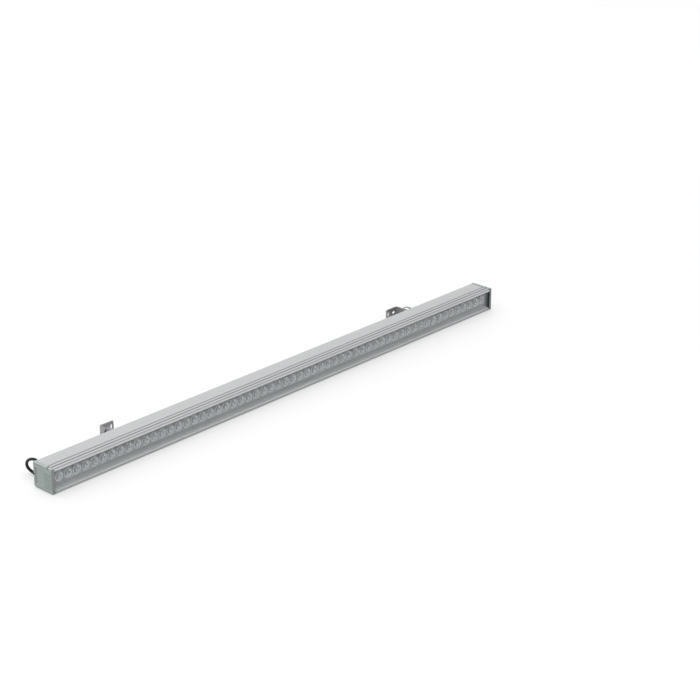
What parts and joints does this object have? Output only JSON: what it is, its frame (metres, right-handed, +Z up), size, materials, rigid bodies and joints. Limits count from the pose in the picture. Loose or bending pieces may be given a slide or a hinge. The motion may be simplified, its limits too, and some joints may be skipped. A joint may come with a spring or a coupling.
{
  "type": "linear wall washer lamp",
  "caption": "Slim aluminium outdoor bar lamp with a long lensed window behind glass, grey end caps, sliding tilting wall brackets on its rear slot and a short cable from a gland.",
  "frame": {"origin": "on the resting plane, under the middle of the housing, at mid-depth of the extruded housing", "axes": "+X along the lamp away from the cable end, -Y out of the window, +Y towards the wall the brackets are screwed to, +Z up"},
  "size_m": [1, 0.086, 0.0405],
  "materials": {
    "anodised": "satin silver anodised extrusion",
    "pane_glass": "clear float glass",
    "gasket_rubber": "matt black",
    "gasket_silicone": "matt grey",
    "cap_paint": "fine matt powder coat, grey green",
    "board_grey": "matt grey solder mask on aluminium",
    "led_phosphor": "pale yellow phosphor",
    "holder_plastic": "matt grey",
    "lens_clear": "polished clear",
    "screw_steel": "bright stainless",
    "nut_steel": "zinc plated",
    "connector_plastic": "off white",
    "board_green": "green solder mask",
    "core_plastic": "dark grey",
    "capacitor_sleeve": "shrink sleeve",
    "chip_plastic": "matt black",
    "terminal_plastic": "green",
    "gland_plastic": "white",
    "cable_rubber": "matt black",
    "lead_red": "insulation",
    "lead_black": "insulation",
    "bracket_steel": "plain stainless sheet"
  },
  "bodies": {
    "housing": {"housing_profile": "anodised", "window_pane": "pane_glass", "pane_gasket_lower": "gasket_silicone", "pane_gasket_upper": "gasket_silicone", "end_cap_left": "cap_paint", "end_cap_right": "cap_paint", "end_gasket_left": "gasket_rubber", "end_gasket_right": "gasket_rubber", "light_board_left": "board_grey", "light_board_middle": "board_grey", "light_board_right": "board_grey", "leds": "led_phosphor", "lens_holders": "holder_plastic", "lenses": "lens_clear", "board_screws": "screw_steel", "board_connectors": "connector_plastic", "driver_board": "board_green", "driver_transformer": "core_plastic", "driver_inductor": "core_plastic", "driver_capacitors": "capacitor_sleeve", "driver_chips": "chip_plastic", "driver_terminals": "terminal_plastic", "gland_body": "gland_plastic", "gland_lock_nut": "gland_plastic", "gland_seal": "gasket_rubber", "gland_cap": "gland_plastic", "cable_entry": "cable_rubber", "input_lead_red": "lead_red", "input_lead_black": "lead_black", "output_lead_red": "lead_red", "output_lead_black": "lead_black", "power_cable": "cable_rubber"},
    "foot_left": {"bracket_foot_left": "bracket_steel", "foot_screws_left": "screw_steel", "slot_nuts_left": "nut_steel", "pivot_bolt_left": "screw_steel", "pivot_washers_left": "nut_steel", "pivot_nut_left": "nut_steel"},
    "arm_left": {"bracket_arm_left": "bracket_steel", "lock_screw_left": "screw_steel", "lock_nut_left": "nut_steel"},
    "foot_right": {"bracket_foot_right": "bracket_steel", "foot_screws_right": "screw_steel", "slot_nuts_right": "nut_steel", "pivot_bolt_right": "screw_steel", "pivot_washers_right": "nut_steel", "pivot_nut_right": "nut_steel"},
    "arm_right": {"bracket_arm_right": "bracket_steel", "lock_screw_right": "screw_steel", "lock_nut_right": "nut_steel"}
  },
  "joints": [
    {"name": "left_slide", "type": "slide", "parent": "housing", "child": "foot_left", "axis": [1, 0, 0], "range_m": [-0.08, 0.25]},
    {"name": "left_tilt", "type": "hinge", "parent": "foot_left", "child": "arm_left", "pos_m": [-0.34, 0.038, 0.02], "axis": [1, 0, 0], "range_deg": [-100, 100]},
    {"name": "right_slide", "type": "slide", "parent": "housing", "child": "foot_right", "axis": [-1, 0, 0], "range_m": [-0.08, 0.25]},
    {"name": "right_tilt", "type": "hinge", "parent": "foot_right", "child": "arm_right", "pos_m": [0.34, 0.038, 0.02], "axis": [1, 0, 0], "range_deg": [-100, 100]}
  ]
}
